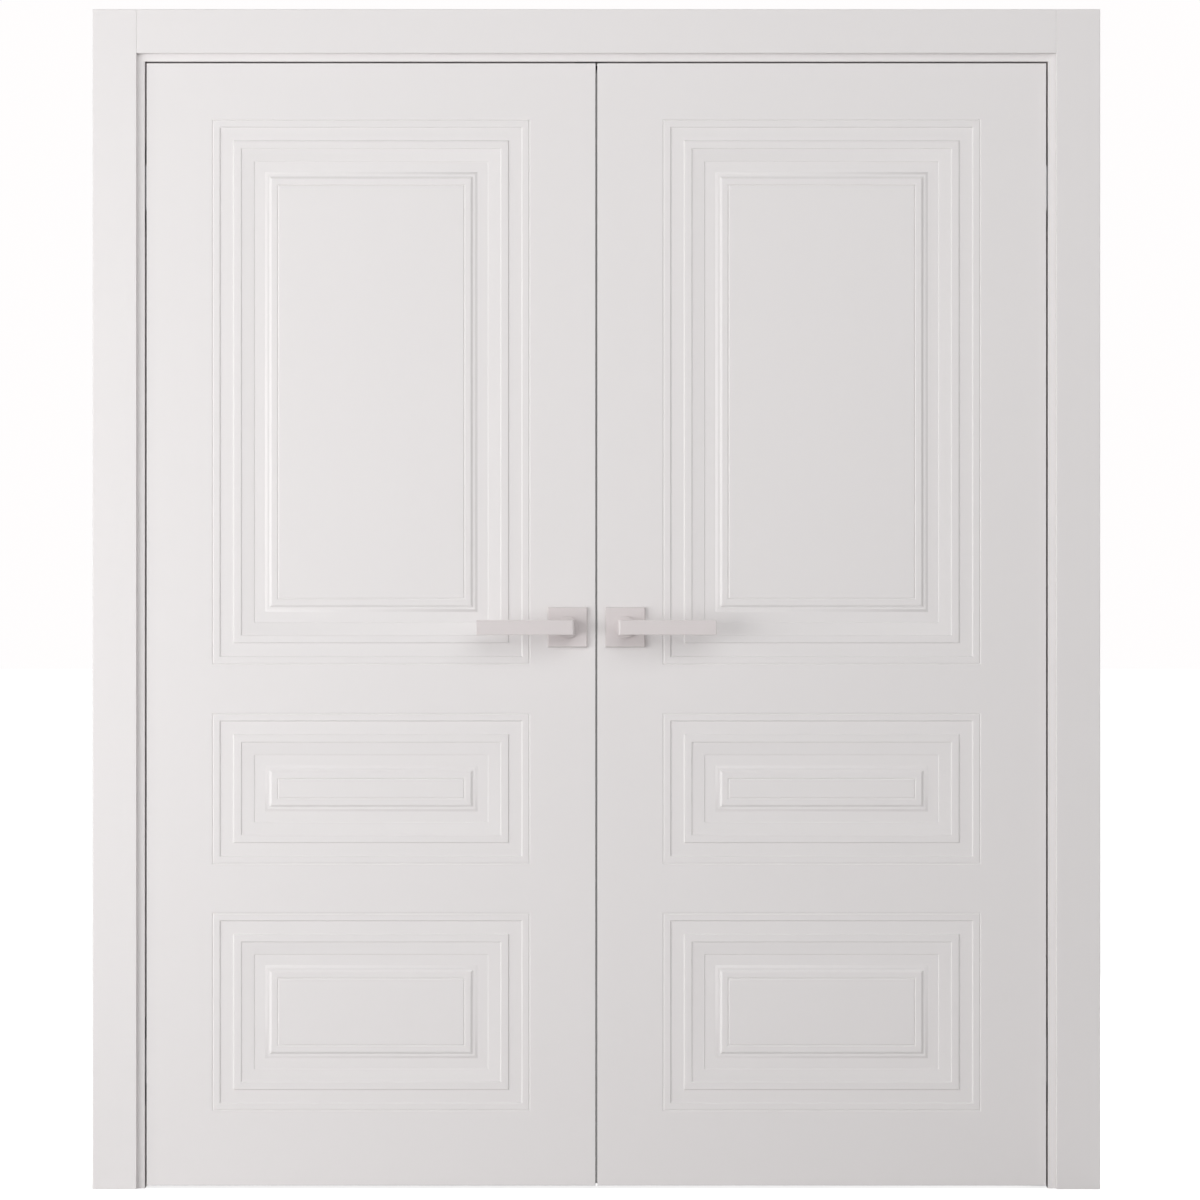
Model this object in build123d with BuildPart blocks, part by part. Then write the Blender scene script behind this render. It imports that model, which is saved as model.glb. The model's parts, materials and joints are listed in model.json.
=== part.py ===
from build123d import *
from math import cos, radians
import os

os.makedirs("parts", exist_ok=True)

# A pair of flush panelled doors in a frame with casings on both sides of the wall.
# The origin is on the floor, midway between the jambs, at the middle of the leaves' thickness.
# X runs to the right, Z is up, and the leaves swing open towards -Y.
# Each piece is drawn for the right-hand side, and left-hand ones are its mirror image.

# Leaves
leaf_width = 800.0
leaf_height = 2000.0
leaf_thickness = 40.0
skin_thickness = 9.0
stile_width = 95.0
rail_width = 110.0
edge_arris = 0.8

# Gaps round the leaves
edge_gap = 3.0
meeting_gap = 3.0
floor_gap = 5.0

# Jamb boards, with the stop that the leaves close against
jamb_depth = 80.0
jamb_board = 38.0
stop_width = 12.0
seal_room = 3.0

# Casings, which stand back from the rebate by the reveal and plug into the jamb with a tongue
casing_width = 78.0
casing_thickness = 10.0
casing_arris = 1.2
jamb_reveal = 14.0
tongue_inset = 12.5
tongue_thickness = 5.0
tongue_depth = 14.0

# Rubber seals of the stop and of the meeting edges
seal_stem_width = 2.6
seal_stem_depth = 5.0
seal_bulb_width = 7.0
seal_clear = 0.3
blade_width = 3.0
blade_stem_width = 2.0
blade_stem_depth = 4.0
blade_clear = 0.15

# Moulded panels of each leaf: outer groove rectangles and the margins between them
panel_side_margin = 118.0
panel_bottom_margin = 134.0
panel_top_margin = 101.0
panel_spacing = 89.0
lower_panel_height = 351.0
middle_panel_height = 267.0

# Moulding profile, measured inwards from the centre of the outer groove, and down from the face
groove_half_width = 1.75
groove_depth = 1.2
channel_start = 12.0
channel_width = 26.2
channel_depth = 1.2
dish_start = 50.0
dish_lip = 1.5
dish_slope_end = 73.0
dish_slope_depth = 4.0
dish_depth = 5.0
first_bead_start = 93.5
first_bead_end = 97.0
bead_ledge_depth = 2.75
second_bead_start = 101.5
second_bead_end = 104.5
inner_groove = 116.0

# Concealed hinges: arc-shaped arms slide in both bodies and turn about an axis just off the face
hinge_height_from_end = 220.0
hinge_axis_lead = 1.0
hinge_cover = 3.0
hinge_body_width = 24.0
hinge_body_height = 110.0
hinge_flange_height = 160.0
hinge_flange_thickness = 3.0
hinge_wall = 2.5
arm_radius = 22.0
arm_thickness = 5.0
arm_height = 80.0
arm_start_angle = 22.0
arm_end_play = 2.0
slot_end_angle = 100.0
arm_clear = 0.3

# Loose tongues glued across the mitres of the jambs, and the holes for the frame's wall screws
mitre_tongue_thickness = 5.0
mitre_tongue_width = 44.0
mitre_tongue_depth = 11.0
mitre_tongue_inset = 27.0
wall_screw_radius = 4.0
wall_screw_head_radius = 8.0
wall_screw_height = 450.0
wall_screw_spacing = 1110.0

# Lever sets
handle_height = 1000.0
backset = 50.0
rose_size = 71.0
rose_thickness = 8.0
rose_arris = 1.5
journal_radius = 9.0
neck_radius = 19.3
neck_length = 6.0
neck_gap = 0.4
lever_projection = 60.0
lever_bar_thickness = 10.0
lever_bar_height = 26.0
lever_reach = 161.0
lever_overhang = 15.5
lever_root_width = 27.0
lever_outer_radius = 14.0
lever_inner_radius = 8.0
lever_arris = 1.0
spindle_width = 8.0
socket_depth = 26.0
spindle_end_clear = 1.0
spindle_bore_radius = 8.0

# Latch of the right leaf, and the strike in the left one
plate_width = 20.0
plate_thickness = 3.0
faceplate_height = 235.0
case_depth = 72.0
case_thickness = 15.0
case_below_handle = 78.0
case_above_handle = 92.0
follower_radius = 11.0
follower_neck_radius = 7.5
follower_width = 9.0
latch_above_handle = 35.0
latch_height = 32.0
latch_thickness = 11.0
latch_length = 30.0
latch_nose_radius = 3.0
latch_clear = 0.4
strike_height = 140.0
strike_clear = 1.2
strike_box_depth = 13.0
strike_box_wall = 2.0

# Flush bolts in the left leaf's meeting edge
bolt_case_length = 150.0
bolt_case_depth = 15.0
bolt_rod_radius = 4.5
bolt_rod_length = 95.0
bolt_rod_setback = 8.0
bolt_travel = 15.0
thumb_width = 6.0
thumb_height = 12.0
thumb_drop = 55.0
thumb_recess = 0.5
keeper_length = 60.0
keeper_thickness = 1.5
keeper_hole_length = 16.0
keeper_hole_width = 14.0

# Fits: round running fit, sliding fit, and the ease of a piece let into wood
running_fit = 0.06
sliding_fit = 0.3
inset_fit = 0.2

# Planes that the pieces share
face_y = -leaf_thickness / 2
back_y = leaf_thickness / 2
core_half = leaf_thickness / 2 - skin_thickness
leaf_x = meeting_gap / 2
leaf_end_x = leaf_x + leaf_width
leaf_mid_x = leaf_x + leaf_width / 2
leaf_top = floor_gap + leaf_height
leaf_mid_z = floor_gap + leaf_height / 2
rebate_x = leaf_end_x + edge_gap
rebate_z = leaf_top + edge_gap
stop_y = back_y + seal_room
jamb_back_y = face_y + jamb_depth
tongue_u = jamb_reveal + tongue_inset
frame_top = rebate_z + jamb_reveal + casing_width
handle_x = leaf_x + backset
latch_z = handle_height + latch_above_handle
bolt_x = leaf_x + bolt_rod_setback

hinge_x = leaf_end_x + edge_gap / 2
hinge_y = face_y - hinge_axis_lead
hinge_body_y = face_y + hinge_cover + hinge_body_width / 2
hinge_heights = (floor_gap + hinge_height_from_end, leaf_top - hinge_height_from_end)
arm_inner = arm_radius - arm_thickness / 2
arm_outer = arm_radius + arm_thickness / 2
slot_start_angle = arm_start_angle - arm_end_play
slot_reach = (arm_outer + arm_clear) * cos(radians(slot_start_angle))
hinge_depth = slot_reach + hinge_wall - edge_gap / 2

left_to_right = Plane.YZ
front_to_back = Plane.XZ
leaf_to_jamb = Plane.YZ.offset(hinge_x)
top_to_bottom = Plane.XY.offset(leaf_mid_z)
front_to_back_wall = Plane.XZ.offset(-(face_y + jamb_back_y) / 2)
right_mitre = Plane(origin=(rebate_x, 0, rebate_z), z_dir=(1, 0, -1))
left_mitre = Plane(origin=(-rebate_x, 0, rebate_z), z_dir=(-1, 0, -1))


def side_point(u, y):
    """Place a section point of an upright; u runs outwards from the right rebate."""
    return (rebate_x + u, y)


def head_point(u, y):
    """Place a section point of a head piece; u runs upwards from the head rebate."""
    return (y, rebate_z + u)


def corners(point, low, high):
    """Corner points of a rectangle in a section, from its low to its high (u, y) corner."""
    return (point(low[0], low[1]), point(high[0], low[1]), point(high[0], high[1]), point(low[0], high[1]))


def save(part, name):
    """Label a finished piece and write it."""
    part.label = name
    export_step(part, f"parts/{name}.step")


def reflected(part, *planes):
    """The piece mirrored in each plane in turn."""
    for plane in planes:
        part = mirror(part, about=plane, mode=Mode.PRIVATE)
    return part


def save_pair(part, name):
    """Write a right-hand piece and its left-hand mirror image."""
    save(part, f"right_{name}")
    save(reflected(part, left_to_right), f"left_{name}")


# Jambs: a board with a rebate for the leaf, grooves for the casings' tongues and one for the seal
def jamb_section(plane, point):
    front = face_y
    back = jamb_back_y
    outline = (
        (edge_arris, front),
        (jamb_board, front),
        (jamb_board, back),
        (edge_arris - stop_width, back),
        (-stop_width, back - edge_arris),
        (-stop_width, stop_y + edge_arris),
        (edge_arris - stop_width, stop_y),
        (0, stop_y),
        (0, front + edge_arris),
    )
    groove_low = tongue_u - inset_fit
    groove_high = tongue_u + tongue_thickness + inset_fit
    groove_depth_y = tongue_depth + inset_fit
    seal_low = -stop_width / 2 - seal_stem_width / 2 - inset_fit
    seal_high = -stop_width / 2 + seal_stem_width / 2 + inset_fit
    grooves = (
        corners(point, (groove_low, front), (groove_high, front + groove_depth_y)),
        corners(point, (groove_low, back - groove_depth_y), (groove_high, back)),
        corners(point, (seal_low, stop_y), (seal_high, stop_y + seal_stem_depth + inset_fit)),
    )
    with BuildSketch(plane) as section:
        with BuildLine():
            Polyline(*[point(u, y) for u, y in outline], close=True)
        make_face()
        for groove in grooves:
            with BuildLine():
                Polyline(*groove, close=True)
            make_face(mode=Mode.SUBTRACT)
    return section.sketch


def hinge_blank(height, ease=0.0):
    """Outer form of a hinge body in the right jamb: a round-ended flange with a box behind it."""
    mouth = Plane(origin=(rebate_x, hinge_body_y, height), x_dir=(0, 0, 1), z_dir=(1, 0, 0))
    with BuildPart() as blank:
        with BuildSketch(mouth):
            SlotOverall(hinge_flange_height + 2 * ease, hinge_body_width + 2 * ease)
        extrude(amount=hinge_flange_thickness + ease)
        with BuildSketch(mouth):
            Rectangle(hinge_body_height + 2 * ease, hinge_body_width + 2 * ease)
        extrude(amount=hinge_depth + ease)
    return blank.part


def mitre_tongue(ease=0.0):
    """Flat board that crosses the right mitre squarely; with ease it is the slot that takes one."""
    middle = rebate_x + mitre_tongue_inset
    across = Plane(
        origin=(middle, (face_y + jamb_back_y) / 2, rebate_z + mitre_tongue_inset), x_dir=(0, 1, 0), z_dir=(1, 0, -1)
    )
    with BuildPart() as tongue:
        with BuildSketch(across):
            Rectangle(mitre_tongue_width + 2 * ease, mitre_tongue_thickness + 2 * ease)
        extrude(amount=mitre_tongue_depth + ease, both=True)
    return tongue.part


with BuildPart() as hinge_pockets:
    for height in hinge_heights:
        add(hinge_blank(height, inset_fit))

with BuildPart() as side_jamb:
    extrude(jamb_section(Plane.XY, side_point), amount=rebate_z + jamb_board)
    split(bisect_by=right_mitre, keep=Keep.TOP)
    add(hinge_pockets.part, mode=Mode.SUBTRACT)
    add(mitre_tongue(inset_fit), mode=Mode.SUBTRACT)
    wall_screw_heights = (wall_screw_height, wall_screw_height + wall_screw_spacing)
    with Locations(*[Plane(origin=(rebate_x, 0, height), z_dir=(-1, 0, 0)) for height in wall_screw_heights]):
        CounterSinkHole(wall_screw_radius, wall_screw_head_radius, depth=jamb_board)
save_pair(side_jamb.part, "jamb")

with BuildPart() as head_jamb:
    head_half = rebate_x + jamb_board
    extrude(jamb_section(Plane.YZ.offset(-head_half), head_point), amount=2 * head_half)
    split(bisect_by=right_mitre, keep=Keep.BOTTOM)
    split(bisect_by=left_mitre, keep=Keep.BOTTOM)
    add(mitre_tongue(inset_fit), mode=Mode.SUBTRACT)
    add(reflected(mitre_tongue(inset_fit), left_to_right), mode=Mode.SUBTRACT)
    with BuildSketch(Plane.XY.offset(rebate_z)):
        with Locations((-bolt_x, 0)):
            SlotOverall(keeper_length + 2 * inset_fit, plate_width + 2 * inset_fit)
    extrude(amount=keeper_thickness, mode=Mode.SUBTRACT)
    with BuildSketch(Plane.XY.offset(rebate_z)):
        with Locations((-bolt_x, 0)):
            Rectangle(keeper_hole_length, keeper_hole_width)
    extrude(amount=bolt_travel + keeper_thickness, mode=Mode.SUBTRACT)
save(head_jamb.part, "head_jamb")

save_pair(mitre_tongue(), "mitre_tongue")

with BuildPart() as bolt_keeper:
    with BuildSketch(Plane.XY.offset(rebate_z)):
        with Locations((-bolt_x, 0)):
            SlotOverall(keeper_length, plate_width)
            Rectangle(keeper_hole_length, keeper_hole_width, mode=Mode.SUBTRACT)
    extrude(amount=keeper_thickness)
save(bolt_keeper.part, "bolt_keeper")


# Stop seals: a stem in the stop's groove and a soft bulb towards the leaf
def stop_seal_section(plane, point):
    middle = -stop_width / 2
    with BuildSketch(plane) as section:
        with BuildLine():
            start = point(middle - seal_bulb_width / 2, stop_y)
            crown = point(middle, back_y + seal_clear)
            end = point(middle + seal_bulb_width / 2, stop_y)
            ThreePointArc(start, crown, end)
            Line(end, start)
        make_face()
        with BuildLine():
            low = (middle - seal_stem_width / 2, stop_y)
            high = (middle + seal_stem_width / 2, stop_y + seal_stem_depth)
            Polyline(*corners(point, low, high), close=True)
        make_face()
    return section.sketch


with BuildPart() as side_seal:
    extrude(stop_seal_section(Plane.XY, side_point), amount=rebate_z)
    split(bisect_by=right_mitre, keep=Keep.TOP)
save_pair(side_seal.part, "stop_seal")

with BuildPart() as head_seal:
    extrude(stop_seal_section(Plane.YZ.offset(-rebate_x), head_point), amount=2 * rebate_x)
    split(bisect_by=right_mitre, keep=Keep.BOTTOM)
    split(bisect_by=left_mitre, keep=Keep.BOTTOM)
save(head_seal.part, "head_stop_seal")


# Casings: a flat board against the wall, with a tongue in the jamb's groove
def casing_board_section(plane, point):
    inner = jamb_reveal
    outer = jamb_reveal + casing_width
    front = face_y - casing_thickness
    outline = (
        (inner, face_y),
        (inner, front + casing_arris),
        (inner + casing_arris, front),
        (outer - casing_arris, front),
        (outer, front + casing_arris),
        (outer, face_y),
    )
    with BuildSketch(plane) as section:
        with BuildLine():
            Polyline(*[point(u, y) for u, y in outline], close=True)
        make_face()
    return section.sketch


def casing_tongue_section(plane, point):
    with BuildSketch(plane) as section:
        with BuildLine():
            low = (tongue_u, face_y)
            high = (tongue_u + tongue_thickness, face_y + tongue_depth)
            Polyline(*corners(point, low, high), close=True)
        make_face()
    return section.sketch


with BuildPart() as side_casing:
    extrude(casing_board_section(Plane.XY, side_point), amount=frame_top)
    extrude(casing_tongue_section(Plane.XY, side_point), amount=rebate_z)
save_pair(side_casing.part, "front_casing")
save_pair(reflected(side_casing.part, front_to_back_wall), "back_casing")

with BuildPart() as head_casing:
    casing_half = rebate_x + jamb_reveal
    extrude(casing_board_section(Plane.YZ.offset(-casing_half), head_point), amount=2 * casing_half)
    extrude(casing_tongue_section(Plane.YZ.offset(-rebate_x), head_point), amount=2 * rebate_x)
    joint_edges = head_casing.edges().filter_by(Axis.Z).group_by(Axis.Y)[0]
    chamfer(joint_edges, casing_arris)
save(head_casing.part, "head_front_casing")
save(reflected(head_casing.part, front_to_back_wall), "head_back_casing")


# Hinges
def arc_band(plane, inner, outer, start, end):
    """Sector of a ring about the hinge axis, between two radii and two angles."""
    with BuildSketch(plane) as band:
        with BuildLine():
            inside = CenterArc((hinge_x, hinge_y), inner, start, end - start)
            outside = CenterArc((hinge_x, hinge_y), outer, start, end - start)
            Line(inside @ 0, outside @ 0)
            Line(inside @ 1, outside @ 1)
        make_face()
    return band.sketch


for name, height in zip(("lower", "upper"), hinge_heights):
    with BuildPart() as hinge_body:
        add(hinge_blank(height))
        slot_floor = Plane.XY.offset(height - arm_height / 2 - arm_clear)
        slot = arc_band(slot_floor, arm_inner - arm_clear, arm_outer + arm_clear, slot_start_angle, slot_end_angle)
        extrude(slot, amount=arm_height + 2 * arm_clear, mode=Mode.SUBTRACT)
    save_pair(hinge_body.part, f"{name}_jamb_hinge_body")
    save_pair(reflected(hinge_body.part, leaf_to_jamb), f"{name}_leaf_hinge_body")

    with BuildPart() as hinge_arm:
        arm_floor = Plane.XY.offset(height - arm_height / 2)
        extrude(arc_band(arm_floor, arm_inner, arm_outer, arm_start_angle, 180 - arm_start_angle), amount=arm_height)
    save_pair(hinge_arm.part, f"{name}_hinge_arm")


# Latch, strike and flush bolts, and the pockets that take them
def edge_plate(height, centre, ease=0.0):
    """Round-ended plate let into the meeting edge."""
    edge = Plane(origin=(leaf_x, 0, centre), x_dir=(0, 0, 1), z_dir=(1, 0, 0))
    with BuildPart() as plate:
        with BuildSketch(edge):
            SlotOverall(height + 2 * ease, plate_width + 2 * ease)
        extrude(amount=plate_thickness)
    return plate.part


def edge_block(x_range, width, z_range):
    """Upright block in the middle of the leaf's thickness."""
    with BuildPart() as block:
        with BuildSketch(Plane.XY.offset(z_range[0])):
            with Locations(((x_range[0] + x_range[1]) / 2, 0)):
                Rectangle(x_range[1] - x_range[0], width)
        extrude(amount=z_range[1] - z_range[0])
    return block.part


def follower_disc(radius, width):
    """Round block on the handle axis, in the middle of the leaf's thickness."""
    with BuildPart() as disc:
        with BuildSketch(Plane.XZ.offset(-width / 2)):
            with Locations((handle_x, handle_height)):
                Circle(radius)
        extrude(amount=width)
    return disc.part


faceplate_z = handle_height + (case_above_handle - case_below_handle) / 2
case_x = leaf_x + plate_thickness
case_z = (handle_height - case_below_handle, handle_height + case_above_handle)
latch_room_z = (latch_z - latch_height / 2 - latch_clear, latch_z + latch_height / 2 + latch_clear)
latch_room = edge_block((leaf_x, case_x + latch_length), latch_thickness + 2 * latch_clear, latch_room_z)

with BuildPart() as latch_case:
    add(edge_block((case_x, leaf_x + case_depth), case_thickness, case_z))
    add(latch_room, mode=Mode.SUBTRACT)
    add(follower_disc(follower_radius + sliding_fit, follower_width + 2 * sliding_fit), mode=Mode.SUBTRACT)
    add(follower_disc(follower_neck_radius + running_fit, case_thickness), mode=Mode.SUBTRACT)
save(latch_case.part, "latch_case")

with BuildPart() as latch_follower:
    add(follower_disc(follower_radius, follower_width))
    add(follower_disc(follower_neck_radius, case_thickness))
    with BuildSketch(Plane.XZ.offset(-case_thickness / 2)):
        with Locations((handle_x, handle_height)):
            Rectangle(spindle_width + inset_fit, spindle_width + inset_fit)
    extrude(amount=case_thickness, mode=Mode.SUBTRACT)
save(latch_follower.part, "latch_follower")

with BuildPart() as latch_faceplate:
    add(edge_plate(faceplate_height, faceplate_z))
    add(latch_room, mode=Mode.SUBTRACT)
save(latch_faceplate.part, "latch_faceplate")

with BuildPart() as latch_bolt:
    latch_bolt_z = (latch_z - latch_height / 2, latch_z + latch_height / 2)
    add(edge_block((leaf_x, leaf_x + latch_length), latch_thickness, latch_bolt_z))
    nose_edges = latch_bolt.faces().sort_by(Axis.X)[0].edges().filter_by(Axis.Z)
    fillet(nose_edges, latch_nose_radius)
save(latch_bolt.part, "latch_bolt")

strike_room_z = (latch_z - latch_height / 2 - strike_clear, latch_z + latch_height / 2 + strike_clear)
strike_room_width = latch_thickness + 2 * strike_clear
strike_room = edge_block((leaf_x, case_x + strike_box_depth - strike_box_wall), strike_room_width, strike_room_z)

with BuildPart() as strike_box:
    strike_box_z = (strike_room_z[0] - strike_box_wall, strike_room_z[1] + strike_box_wall)
    strike_box_width = strike_room_width + 2 * strike_box_wall
    add(edge_block((case_x, case_x + strike_box_depth), strike_box_width, strike_box_z))
    add(strike_room, mode=Mode.SUBTRACT)
save(reflected(strike_box.part, left_to_right), "strike_box")

with BuildPart() as strike_plate:
    add(edge_plate(strike_height, latch_z))
    add(strike_room, mode=Mode.SUBTRACT)
save(reflected(strike_plate.part, left_to_right), "strike_plate")

bolt_case_z = (leaf_top - bolt_case_length, leaf_top)
thumb_z = (leaf_top - thumb_drop - thumb_height, leaf_top - thumb_drop)

with BuildPart() as bolt_case:
    add(edge_block((leaf_x, leaf_x + bolt_case_depth), plate_width, bolt_case_z))
    foot_edges = bolt_case.faces().sort_by(Axis.Z)[0].edges().filter_by(Axis.X)
    fillet(foot_edges, plate_width / 2 - edge_arris)
    with Locations((bolt_x, 0, leaf_top)):
        Hole(bolt_rod_radius + running_fit, depth=bolt_rod_length + edge_arris)
    thumb_slot_z = (thumb_z[0] - sliding_fit, thumb_z[1] + bolt_travel + sliding_fit)
    add(edge_block((leaf_x, bolt_x), thumb_width + 2 * sliding_fit, thumb_slot_z), mode=Mode.SUBTRACT)

with BuildPart() as flush_bolt:
    with BuildSketch(Plane.XY.offset(leaf_top - bolt_rod_length)):
        with Locations((bolt_x, 0)):
            Circle(bolt_rod_radius)
    extrude(amount=bolt_rod_length)
    chamfer(flush_bolt.faces().sort_by(Axis.Z)[-1].edges(), edge_arris)
    add(edge_block((leaf_x + thumb_recess, bolt_x), thumb_width, thumb_z))

for piece, name in ((bolt_case.part, "bolt_case"), (flush_bolt.part, "flush_bolt")):
    save(reflected(piece, left_to_right), f"top_{name}")
    save(reflected(piece, left_to_right, top_to_bottom), f"bottom_{name}")

with BuildPart() as latch_pockets:
    add(edge_plate(faceplate_height, faceplate_z, inset_fit))
    latch_pocket_z = (case_z[0] - inset_fit, case_z[1] + inset_fit)
    add(edge_block((leaf_x, leaf_x + case_depth + inset_fit), case_thickness + 2 * inset_fit, latch_pocket_z))

with BuildPart() as strike_pockets:
    add(edge_plate(strike_height, latch_z, inset_fit))
    strike_pocket_z = (strike_box_z[0] - inset_fit, strike_box_z[1] + inset_fit)
    strike_pocket_x = (leaf_x, case_x + strike_box_depth + inset_fit)
    add(edge_block(strike_pocket_x, strike_box_width + 2 * inset_fit, strike_pocket_z))
    top_pocket = edge_block(
        (leaf_x, leaf_x + bolt_case_depth + inset_fit),
        plate_width + 2 * inset_fit,
        (leaf_top - bolt_case_length - inset_fit, leaf_top),
    )
    add(top_pocket)
    add(reflected(top_pocket, top_to_bottom))


# Leaves: a timber frame and a light core between two moulded skins
def spindle_bore_plane(y):
    return Plane(origin=(handle_x, y, handle_height), z_dir=(0, -1, 0))


def timber_frame(pockets):
    """Stiles and rails as one glued frame, with the hinge pockets and the given edge pockets."""
    with BuildPart() as frame:
        with BuildSketch(Plane.XZ.offset(-core_half)):
            with Locations((leaf_mid_x, leaf_mid_z)):
                Rectangle(leaf_width, leaf_height)
                Rectangle(leaf_width - 2 * stile_width, leaf_height - 2 * rail_width, mode=Mode.SUBTRACT)
        extrude(amount=2 * core_half)
        add(reflected(hinge_pockets.part, leaf_to_jamb), mode=Mode.SUBTRACT)
        add(pockets, mode=Mode.SUBTRACT)
        with Locations(spindle_bore_plane(-core_half)):
            Hole(spindle_bore_radius, depth=2 * core_half)
    return frame.part


def moulding_profiles():
    """Closed sections of the four cuts of a panel's moulding, as (inset, depth) points."""
    channel_end = channel_start + channel_width
    return (
        ((-groove_half_width, 0), (0, groove_depth), (groove_half_width, 0)),
        (
            (channel_start, 0),
            (channel_start + channel_depth, channel_depth),
            (channel_end - channel_depth, channel_depth),
            (channel_end, 0),
        ),
        (
            (dish_start, 0),
            (dish_start + dish_lip, dish_lip),
            (dish_slope_end, dish_slope_depth),
            (dish_slope_end + dish_depth - dish_slope_depth, dish_depth),
            (first_bead_start, dish_depth),
            (first_bead_end, bead_ledge_depth),
            (second_bead_start, bead_ledge_depth),
            (second_bead_end, 0),
        ),
        ((inner_groove - groove_half_width, 0), (inner_groove, groove_depth), (inner_groove + groove_half_width, 0)),
    )


def panel_cut(low_z, height):
    """What the router takes out of the front face round one panel."""
    width = leaf_width - 2 * panel_side_margin
    left = leaf_mid_x - width / 2
    right = leaf_mid_x + width / 2
    top = low_z + height
    section_plane = Plane(origin=(leaf_mid_x, face_y, low_z), x_dir=(0, 0, 1), z_dir=(-1, 0, 0))
    with BuildPart() as cut:
        with BuildLine(Plane.XZ.offset(-face_y)) as route:
            Polyline(
                (leaf_mid_x, low_z), (right, low_z), (right, top), (left, top), (left, low_z), (leaf_mid_x, low_z)
            )
        with BuildSketch(section_plane):
            for profile in moulding_profiles():
                with BuildLine():
                    Polyline(*profile, close=True)
                make_face()
        sweep(path=route.wire(), transition=Transition.RIGHT)
    return cut.part


def skin(pockets):
    """Front skin with its moulded panels, eased edges and the given pockets."""
    middle_z = floor_gap + panel_bottom_margin + lower_panel_height + panel_spacing
    upper_z = middle_z + middle_panel_height + panel_spacing
    panels = (
        (floor_gap + panel_bottom_margin, lower_panel_height),
        (middle_z, middle_panel_height),
        (upper_z, leaf_top - panel_top_margin - upper_z),
    )
    with BuildPart() as board:
        with BuildSketch(Plane.XZ.offset(core_half)):
            with Locations((leaf_mid_x, leaf_mid_z)):
                Rectangle(leaf_width, leaf_height)
        extrude(amount=skin_thickness)
        chamfer(board.faces().sort_by(Axis.Y)[0].edges(), edge_arris)
        for low_z, height in panels:
            add(panel_cut(low_z, height), mode=Mode.SUBTRACT)
        with Locations(spindle_bore_plane(face_y)):
            Hole(spindle_bore_radius, depth=skin_thickness)
        for pocket in pockets:
            add(pocket, mode=Mode.SUBTRACT)
    return board.part


front_skin = skin([reflected(hinge_pockets.part, leaf_to_jamb)])
save_pair(front_skin, "front_skin")

blade_y = -(core_half + skin_thickness / 2)
with BuildPart() as blade_groove:
    with BuildSketch(Plane.XY.offset(floor_gap)):
        with Locations((leaf_x + (blade_stem_depth + inset_fit) / 2, blade_y)):
            Rectangle(blade_stem_depth + inset_fit, blade_stem_width + 2 * inset_fit)
    extrude(amount=leaf_height)
back_skin = reflected(skin([blade_groove.part]), front_to_back)
save_pair(back_skin, "back_skin")

save(timber_frame(latch_pockets.part), "right_timber_frame")
save(reflected(timber_frame(strike_pockets.part), left_to_right), "left_timber_frame")

with BuildPart() as leaf_core:
    with BuildSketch(Plane.XZ.offset(-core_half)):
        with Locations((leaf_mid_x, leaf_mid_z)):
            Rectangle(leaf_width - 2 * stile_width, leaf_height - 2 * rail_width)
    extrude(amount=2 * core_half)
save_pair(leaf_core.part, "leaf_core")

with BuildPart() as meeting_seal:
    with BuildSketch(Plane.XY.offset(floor_gap)):
        with Locations((leaf_x + blade_stem_depth / 2, blade_y)):
            Rectangle(blade_stem_depth, blade_stem_width)
        with Locations(((leaf_x + blade_clear) / 2, blade_y)):
            Rectangle(leaf_x - blade_clear, blade_width)
    extrude(amount=leaf_height)
save_pair(reflected(meeting_seal.part, front_to_back), "meeting_seal")

# Lever sets: square rose, lever with its round neck and journal, and the spindle through both
with BuildPart() as rose:
    with BuildSketch(Plane.XZ.offset(-face_y)):
        with Locations((handle_x, handle_height)):
            Rectangle(rose_size, rose_size)
    extrude(amount=rose_thickness)
    chamfer(rose.faces().sort_by(Axis.Y)[0].edges(), rose_arris)
    with Locations(spindle_bore_plane(face_y - rose_thickness)):
        Hole(journal_radius + running_fit, depth=rose_thickness)
save_pair(rose.part, "front_rose")
save_pair(reflected(rose.part, front_to_back), "back_rose")

bar_front_y = face_y - lever_projection
bar_back_y = bar_front_y + lever_bar_thickness
neck_y = face_y - rose_thickness - neck_gap
root_x = handle_x - lever_overhang
root_inner_x = root_x + lever_root_width
tip_x = handle_x + lever_reach

with BuildPart() as lever:
    with BuildSketch(Plane.XY.offset(handle_height)) as plan:
        with BuildLine():
            Polyline(
                (root_x, neck_y - neck_length),
                (root_x, bar_front_y),
                (tip_x, bar_front_y),
                (tip_x, bar_back_y),
                (root_inner_x, bar_back_y),
                (root_inner_x, neck_y - neck_length),
                close=True,
            )
        make_face()
        fillet(plan.vertices().sort_by_distance((root_x, bar_front_y, handle_height))[0], lever_outer_radius)
        fillet(plan.vertices().sort_by_distance((root_inner_x, bar_back_y, handle_height))[0], lever_inner_radius)
    extrude(amount=lever_bar_height / 2, both=True)
    upper_edges = lever.faces().sort_by(Axis.Z)[-1].edges()
    lower_edges = lever.faces().sort_by(Axis.Z)[0].edges()
    tip_edges = lever.faces().sort_by(Axis.X)[-1].edges().filter_by(Axis.Z)
    root_face = lever.faces().sort_by(Axis.Y)[-1]
    chamfer(upper_edges + lower_edges + tip_edges - root_face.edges(), lever_arris)
    with BuildSketch(Plane.XZ.offset(-neck_y)):
        with Locations((handle_x, handle_height)):
            Circle(neck_radius)
    extrude(amount=neck_length)
    with BuildSketch(Plane.XZ.offset(-face_y)):
        with Locations((handle_x, handle_height)):
            Circle(journal_radius)
    extrude(amount=rose_thickness + neck_gap)
    with BuildSketch(Plane.XZ.offset(-face_y)):
        with Locations((handle_x, handle_height)):
            Rectangle(spindle_width + inset_fit, spindle_width + inset_fit)
    extrude(amount=socket_depth, mode=Mode.SUBTRACT)
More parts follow.
